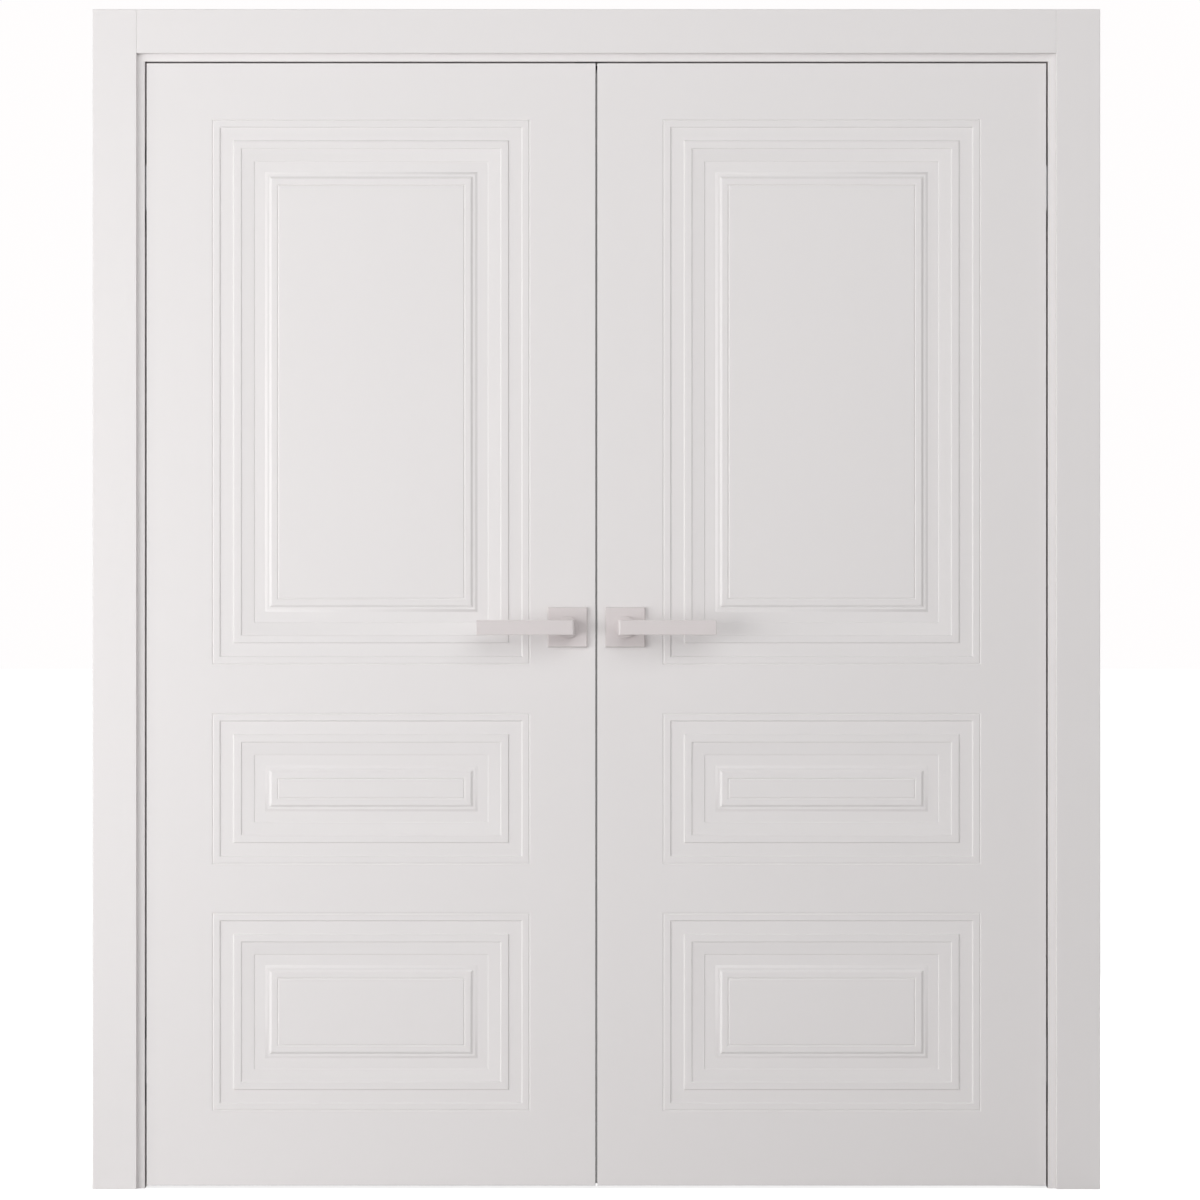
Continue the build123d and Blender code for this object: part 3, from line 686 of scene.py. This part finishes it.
def timber_with_enamel(colours):
    """Pine inside the leaf and enamel on the leaf's four edges."""
    finish = Finish("timber", Specular_IOR_Level=0.4)
    low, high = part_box("right_timber_frame")
    hair = 0.0003
    x, z = abs(finish.axis("X")), finish.axis("Z")
    sides = (x < low.x + hair).larger(x > high.x - hair)
    ends = (z < low.z + hair).larger(z > high.z - hair)
    jamb_zone = (z > high.z + hair).larger(x > high.x + hair)
    mask = sides.larger(ends) * (1.0 - jamb_zone)
    dress(finish, pine_grain(finish, colours.pine), sprayed_enamel(finish, colours.enamel), mask)


def honeycomb_board(colours):
    """Paper honeycomb: six-sided cells seen on the board's faces, with painted shade in the hollow cells."""
    finish = Finish("core_board", Specular_IOR_Level=0.2)
    cells = finish.node(
        "ShaderNodeTexVoronoi",
        {"feature": "DISTANCE_TO_EDGE"},
        {"Vector": finish.place, "Scale": 70.0, "Randomness": 0.12},
    )
    wall = (1.0 - cells * 9.0).clamped()
    paper = finish.noise(240.0, 4.0, 0.6)
    # Painted shade: the hollows of the cells are darker than the paper walls round them.
    finish.feed_tone(wall, colours.fibreboard, 0.55, 1.35)
    finish.feed("Roughness", 0.8 + 0.1 * paper)
    finish.feed("Normal", finish.bump(wall, 0.0008))


def soft_rubber(colours):
    """Dark seal rubber with a dusty bloom."""
    finish = Finish("seal_rubber", Specular_IOR_Level=0.35)
    bloom = finish.noise(35.0, 4.0, 0.6)
    grain = finish.noise(900.0, 2.0)
    finish.feed_tone(bloom, colours.seal, 0.8, 1.7)
    finish.feed("Roughness", 0.62 + 0.2 * grain)
    finish.feed("Normal", finish.bump(grain, 0.00003))


def lacquered_metal(colours):
    """Matt lacquer on cast handles: a fine powdery grain."""
    finish = Finish("handle_metal", Specular_IOR_Level=0.5)
    powder = finish.noise(1500.0, 3.0, 0.6)
    drift = finish.noise(12.0, 2.0)
    finish.feed_tone(drift, colours.handle, 0.985, 1.015)
    finish.feed("Roughness", 0.40 + 0.12 * powder)
    finish.feed("Normal", finish.bump(powder, 0.000012))


def brushed(name, colour, stretch, rough):
    """Brushed metal: long hairlines along the axis that the stretch keeps slow."""
    finish = Finish(name, Metallic=1.0)
    lines = finish.noise(260.0, 4.0, 0.7, stretch)
    smear = finish.noise(22.0, 3.0)
    finish.feed_tone(lines, colour, 0.86, 1.12)
    finish.feed("Roughness", rough + 0.16 * lines + 0.08 * smear)
    finish.feed("Normal", finish.bump(lines, 0.00002))


def moulded_plastic(colours):
    """Fine spark-eroded texture of moulded plastic."""
    finish = Finish("pocket_plastic", Specular_IOR_Level=0.5)
    grain = finish.noise(1100.0, 3.0)
    finish.feed_tone(grain, colours.plastic, 0.97, 1.03)
    finish.feed("Roughness", 0.48 + 0.12 * grain)
    finish.feed("Normal", finish.bump(grain, 0.00002))


class DOORS_OT_finishes(bpy.types.Operator):
    """Make every finish and dress the frame's own pieces in them"""

    bl_idname = "doors.finishes"
    bl_label = "Finishes"

    def execute(self, context):
        colours = context.scene.door_finishes
        for plain in list(bpy.data.materials):
            bpy.data.materials.remove(plain)
        enamelled_boards(colours)
        timber_with_enamel(colours)
        honeycomb_board(colours)
        soft_rubber(colours)
        lacquered_metal(colours)
        brushed("hinge_metal", colours.hinge, (8.0, 8.0, 0.25), 0.24)
        brushed("steel", colours.steel, (8.0, 8.0, 0.25), 0.20)
        moulded_plastic(colours)
        for part in frame["record"]["subparts"]:
            node = frame["nodes"][part["node"]]
            node.data.materials.clear()
            node.data.materials.append(bpy.data.materials[part["material_slot"]])
        return {"FINISHED"}


class DOORS_OT_skins(bpy.types.Operator):
    """Build the moulded skins of both leaves, with the pockets of hinges and seals"""

    bl_idname = "doors.skins"
    bl_label = "Moulded skins"

    def execute(self, context):
        sizes = context.scene.door_panels
        for side, s in SIDES.items():
            for face, f in FACES.items():
                low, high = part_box(f"right_{face}_skin")
                outer_y = low.y if f < 0 else high.y
                points, faces = skin_shell(sizes, (low.x, low.z), (high.x, high.z), high.y - low.y)
                placed = np.column_stack([s * points[:, 0], outer_y - f * points[:, 2], points[:, 1]])
                if f < 0:
                    cutters = self.hinge_pockets(side, s, high.x)
                else:
                    cutters = [self.seal_groove(side, s, low, high)]
                smooth_piece(
                    f"{side}_{face}_panelling",
                    (placed, faces),
                    f"{side}_leaf",
                    "white_enamel",
                    replaces=(f"{side}_{face}_skin",),
                    cutters=cutters,
                )
        return {"FINISHED"}

    def hinge_pockets(self, side, s, edge_x):
        """A round-ended room for each hinge's flange, and a deeper square one for its box."""
        shells = []
        for where in ("lower", "upper"):
            low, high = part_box(f"{side}_{where}_leaf_hinge_body")
            middle = (low + high) / 2
            half_width = (high.y - low.y) / 2 + POCKET_EASE
            half_length = (high.z - low.z) / 2 + POCKET_EASE
            outer_x = s * (edge_x + OVERCUT)
            flange_x = s * (edge_x - FLANGE_POCKET_DEPTH)
            shells.append(slot_shell((middle.y, middle.z), half_width, half_length, flange_x, outer_x))
            deep = sorted((s * (edge_x - BOX_POCKET_DEPTH), outer_x))
            box_low = (deep[0], middle.y - half_width, middle.z - BOX_POCKET_HALF_HEIGHT)
            box_high = (deep[1], middle.y + half_width, middle.z + BOX_POCKET_HALF_HEIGHT)
            shells.append(box_shell(box_low, box_high))
        return shells

    def seal_groove(self, side, s, low, high):
        """The groove along the leaf's meeting edge that holds its seal."""
        seal_low, seal_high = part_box(f"{side}_meeting_seal")
        across = sorted((s * (low.x - OVERCUT), s * (low.x + SEAL_GROOVE_DEPTH)))
        middle_y = (seal_low.y + seal_high.y) / 2
        return box_shell(
            (across[0], middle_y - SEAL_GROOVE_HALF_WIDTH, low.z - OVERCUT),
            (across[1], middle_y + SEAL_GROOVE_HALF_WIDTH, high.z + OVERCUT),
        )


class DOORS_OT_casings(bpy.types.Operator):
    """Build the casing boards with their tongues and eased edges"""

    bl_idname = "doors.casings"
    bl_label = "Casings"

    def execute(self, context):
        sizes = context.scene.door_casings
        tongue_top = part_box("head_jamb")[0].z + TONGUE_REACH
        tongue_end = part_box("right_jamb")[0].x + TONGUE_REACH
        for face, f in FACES.items():
            for side, s in SIDES.items():
                name = f"{side}_{face}_casing"
                low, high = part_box(name)
                inner = low.x if s > 0 else high.x
                start = inner + s * sizes.tongue_inset
                across = sorted((start, start + s * sizes.tongue_thickness))
                self.board(sizes, name, f, (across[0], 0), (across[1], tongue_top))
            name = f"head_{face}_casing"
            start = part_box(name)[0].z + sizes.tongue_inset
            self.board(sizes, name, f, (-tongue_end, start), (tongue_end, start + sizes.tongue_thickness))
        return {"FINISHED"}

    def board(self, sizes, name, f, tongue_low, tongue_high):
        """A casing's board, and the tongue from its back into the jamb's groove."""
        low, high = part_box(name)
        front, tip = (low.y, high.y) if f < 0 else (high.y, low.y)
        back = front - f * sizes.thickness
        plank = box_shell((low.x, min(back, front), low.z), (high.x, max(back, front), high.z))
        tongue = box_shell(
            (tongue_low[0], min(back, tip), tongue_low[1]),
            (tongue_high[0], max(back, tip), tongue_high[1]),
        )
        smooth_piece(
            f"{name}_board",
            joined(plank, tongue),
            "frame",
            "white_enamel",
            bevel=sizes.arris,
            replaces=(name,),
        )


class DOORS_OT_jamb_edges(bpy.types.Operator):
    """Ease the edges of the jambs"""

    bl_idname = "doors.jamb_edges"
    bl_label = "Jamb edges"

    def execute(self, context):
        for name in ("left_jamb", "right_jamb", "head_jamb"):
            node = frame["nodes"][name]
            node.modifiers.new("Weld", "WELD").merge_threshold = 1e-5
            round_edges(node, context.scene.door_casings.jamb_arris, 2, 60).harden_normals = True
        return {"FINISHED"}


class DOORS_OT_handles(bpy.types.Operator):
    """Build the levers, their round necks and the square roses"""

    bl_idname = "doors.handles"
    bl_label = "Handles"

    def execute(self, context):
        sizes = context.scene.door_handles
        lever_low, lever_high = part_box("right_front_lever")
        rose_low, rose_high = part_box("right_front_rose")
        axis_x = (rose_low.x + rose_high.x) / 2
        axis_z = (rose_low.z + rose_high.z) / 2
        neck_back = rose_low.y - sizes.neck_gap
        neck_front = neck_back - sizes.neck_length
        journal_end = rose_high.y - sizes.neck_gap
        bar = lever_bar_shell(sizes, neck_front + 0.001, lever_high.x, lever_low.y, axis_z)
        neck_line = eased(
            (
                (0, journal_end),
                (sizes.journal_radius, journal_end),
                (sizes.journal_radius, neck_back),
                (sizes.neck_radius, neck_back),
                (sizes.neck_radius, neck_front),
                (0, neck_front),
            ),
            sizes.arris / 2,
        )
        neck = turned_shell(neck_line, (axis_x, axis_z))
        lever_points, lever_faces = joined(bar, neck)
        rise = rose_high.y - rose_low.y
        bevel = (
            (0, 0),
            (0, rise - sizes.rose_bevel_depth),
            (sizes.rose_bevel, rise),
            (2 * sizes.rose_bevel, rise),
        )
        edge = eased(bevel, sizes.arris / 2)
        rings = rectangle_rings((rose_low.x, rose_low.z), (rose_high.x, rose_high.z), edge)
        rose_points, rose_faces = tube(rings)
        across, up, raised = rose_points.T
        rose_points = np.column_stack([across, rose_high.y - raised, up])
        for side, s in SIDES.items():
            for face, f in FACES.items():
                turn = np.array([s, -f, 1])
                smooth_piece(
                    f"{side}_{face}_handle",
                    (lever_points * turn, lever_faces),
                    f"{side}_lever_set",
                    "handle_metal",
                    replaces=(f"{side}_{face}_lever",),
                )
                smooth_piece(
                    f"{side}_{face}_square_rose",
                    (rose_points * turn, rose_faces),
                    f"{side}_leaf",
                    "handle_metal",
                    replaces=(f"{side}_{face}_rose",),
                )
        return {"FINISHED"}


class DOORS_OT_screws(bpy.types.Operator):
    """Build the cross-headed screws of hinges, plates and bolt cases"""

    bl_idname = "doors.screws"
    bl_label = "Screws"

    def execute(self, context):
        sizes = context.scene.door_screws
        for side, s in SIDES.items():
            for carrier, body, outward in (("jamb", "frame", -s), ("leaf", f"{side}_leaf", s)):
                shells = []
                for where in ("lower", "upper"):
                    low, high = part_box(f"{side}_{where}_{carrier}_hinge_body")
                    x = high.x if outward > 0 else low.x
                    for z in (low.z + SCREW_INSET, high.z - SCREW_INSET):
                        seat = (x, (low.y + high.y) / 2, z)
                        shells.append(screw_shell(sizes, seat, (outward, 0, 0), (0, 0, 1)))
                smooth_piece(f"{side}_{carrier}_hinge_screws", joined(*shells), body, "steel")
        self.plate_screws(sizes, "latch_faceplate", "right_leaf", -1)
        self.plate_screws(sizes, "strike_plate", "left_leaf", 1)
        self.bolt_case_screws(sizes)
        self.keeper_screws(sizes)
        return {"FINISHED"}

    def plate_screws(self, sizes, plate, body, outward):
        """A screw at both ends of a plate in a leaf's meeting edge."""
        low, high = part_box(plate)
        x = high.x if outward > 0 else low.x
        seats = [(x, 0, z) for z in (low.z + SCREW_INSET, high.z - SCREW_INSET)]
        shells = [screw_shell(sizes, seat, (outward, 0, 0), (0, 0, 1)) for seat in seats]
        smooth_piece(f"{plate}_screws", joined(*shells), body, "steel")

    def bolt_case_screws(self, sizes):
        """Two screws in each bolt case, in the half that the bolt doesn't reach."""
        for end, step in (("top", 1), ("bottom", -1)):
            low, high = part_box(f"{end}_bolt_case")
            foot = low.z if step > 0 else high.z
            distances = (sizes.first_seat, sizes.second_seat)
            seats = [(high.x, 0, foot + step * distance) for distance in distances]
            shells = [screw_shell(sizes, seat, (1, 0, 0), (0, 0, 1)) for seat in seats]
            smooth_piece(f"{end}_bolt_case_screws", joined(*shells), "left_leaf", "steel")

    def keeper_screws(self, sizes):
        """A screw at both ends of the keeper, looking down."""
        low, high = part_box("bolt_keeper")
        seats = [(x, (low.y + high.y) / 2, low.z) for x in (low.x + SCREW_INSET, high.x - SCREW_INSET)]
        shells = [screw_shell(sizes, seat, (0, 0, -1), (1, 0, 0)) for seat in seats]
        smooth_piece("bolt_keeper_screws", joined(*shells), "frame", "steel")


class DOORS_OT_thumb_ridges(bpy.types.Operator):
    """Build the ridged fields of the flush bolts' thumb slides"""

    bl_idname = "doors.thumb_ridges"
    bl_label = "Thumb ridges"

    def execute(self, context):
        sizes = context.scene.door_thumbs
        for end in ("top", "bottom"):
            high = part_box(f"{end}_flush_bolt")[1]
            middle = self.thumb_height(f"{end}_flush_bolt", high.x)
            ridged = ridge_shell(sizes, high.x, middle)
            smooth_piece(f"{end}_thumb_ridges", ridged, f"{end}_flush_bolt", "steel")
        return {"FINISHED"}

    def thumb_height(self, node, face_x):
        """The middle height of the node's outermost face towards +X."""
        mesh = frame["nodes"][node].data
        flat = np.empty(3 * len(mesh.vertices), np.float32)
        mesh.vertices.foreach_get("co", flat)
        points = flat.reshape(-1, 3)
        outer = points[points[:, 0] > face_x - 1e-4]
        return float(outer[:, 2].min() + outer[:, 2].max()) / 2


class DOORS_OT_studio(bpy.types.Operator):
    """Set the floor, the soft lights and the camera at the photograph's viewing angle"""

    bl_idname = "doors.studio"
    bl_label = "Studio"

    def execute(self, context):
        settings = context.scene.door_studio
        scene = context.scene
        scene.view_settings.view_transform = "Standard"
        self.world(scene, settings)
        self.floor(scene, settings)
        for name in ("key", "fill", "back"):
            self.lamp(scene, settings, name)
        self.camera(scene, settings)
        return {"FINISHED"}

    def world(self, scene, settings):
        world = bpy.data.worlds.new("studio")
        world.use_nodes = True
        tree = world.node_tree
        tree.nodes.clear()
        path = tree.nodes.new("ShaderNodeLightPath")
        seen = tree.nodes.new("ShaderNodeMath")
        seen.operation = "MAXIMUM"
        tree.links.new(path.outputs["Is Camera Ray"], seen.inputs[0])
        tree.links.new(path.outputs["Is Transmission Ray"], seen.inputs[1])
        strength = tree.nodes.new("ShaderNodeMix")
        tree.links.new(seen.outputs[0], strength.inputs[0])
        strength.inputs[2].default_value = settings.sky_level
        strength.inputs[3].default_value = 1.0
        light = tree.nodes.new("ShaderNodeBackground")
        light.inputs["Color"].default_value = (1.0, 0.985, 0.985, 1.0)
        tree.links.new(strength.outputs[0], light.inputs["Strength"])
        output = tree.nodes.new("ShaderNodeOutputWorld")
        tree.links.new(light.outputs[0], output.inputs[0])
        scene.world = world

    def floor(self, scene, settings):
        half = settings.floor_half
        corners = [(-half, -half, 0), (half, -half, 0), (half, half, 0), (-half, half, 0)]
        mesh = bpy.data.meshes.new("floor")
        mesh.from_pydata(corners, [], [(0, 1, 2, 3)])
        floor = bpy.data.objects.new("floor", mesh)
        scene.collection.objects.link(floor)
        finish = Finish("pale_floor", Roughness=0.8, Specular_IOR_Level=0.1)
        dust = finish.noise(6.0, 3.0)
        finish.feed("Base Color", finish.blend(dust, (0.60, 0.59, 0.59), (0.62, 0.61, 0.61)))
        path = finish.node("ShaderNodeLightPath", {}, {}, "Is Camera Ray")
        distance = finish.node("ShaderNodeVectorMath", {"operation": "LENGTH"}, {0: finish.place}, "Value")
        far = (distance / settings.floor_reach).clamped()
        glow = settings.near_glow + far * (settings.far_glow - settings.near_glow)
        finish.feed("Emission Strength", path * glow)
        finish.shader.inputs["Emission Color"].default_value = (1, 1, 1, 1)
        mesh.materials.append(finish.material)

    def lamp(self, scene, settings, name):
        data = bpy.data.lights.new(name, "AREA")
        data.shape = "RECTANGLE"
        data.size, data.size_y = getattr(settings, f"{name}_size")
        data.energy = getattr(settings, f"{name}_watts")
        lamp = bpy.data.objects.new(name, data)
        lamp.location = getattr(settings, f"{name}_place")
        aim = Vector(settings.aim) - lamp.location
        lamp.rotation_euler = aim.to_track_quat("-Z", "Y").to_euler()
        scene.collection.objects.link(lamp)

    def camera(self, scene, settings):
        data = bpy.data.cameras.new("camera")
        data.lens = data.sensor_width * settings.camera_distance / settings.image_width
        camera = bpy.data.objects.new("camera", data)
        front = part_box("right_front_casing")[0].y
        camera.location = (settings.camera_x, front - settings.camera_distance, settings.camera_z)
        camera.rotation_euler = (pi / 2, 0, 0)
        scene.collection.objects.link(camera)
        scene.camera = camera


OPERATORS = (
    DOORS_OT_finishes,
    DOORS_OT_skins,
    DOORS_OT_casings,
    DOORS_OT_jamb_edges,
    DOORS_OT_handles,
    DOORS_OT_screws,
    DOORS_OT_thumb_ridges,
    DOORS_OT_studio,
)
GROUPS = {
    "door_panels": PanelSizes,
    "door_casings": CasingSizes,
    "door_handles": HandleSizes,
    "door_screws": ScrewSizes,
    "door_thumbs": ThumbSizes,
    "door_finishes": FinishColours,
    "door_studio": StudioSettings,
}


class DOORS_PT_sidebar(bpy.types.Panel):
    """Lists the door pieces and their sizes"""

    bl_idname = "DOORS_PT_sidebar"
    bl_label = "Panelled doors"
    bl_space_type = "VIEW_3D"
    bl_region_type = "UI"
    bl_category = "Doors"

    def draw(self, context):
        for operator in OPERATORS:
            self.layout.operator(operator.bl_idname)
        for name, group in GROUPS.items():
            column = self.layout.column(heading=name)
            for size in group.__annotations__:
                column.prop(getattr(context.scene, name), size)


def register():
    for group in (*GROUPS.values(), *OPERATORS, DOORS_PT_sidebar):
        bpy.utils.register_class(group)
    for name, group in GROUPS.items():
        setattr(bpy.types.Scene, name, PointerProperty(type=group))


def unregister():
    for name in GROUPS:
        delattr(bpy.types.Scene, name)
    for group in (DOORS_PT_sidebar, *OPERATORS, *GROUPS.values()):
        bpy.utils.unregister_class(group)


def main():
    register()
    for operator in OPERATORS:
        group, name = operator.bl_idname.split(".")
        getattr(getattr(bpy.ops, group), name)()


if __name__ == "__main__":
    main()
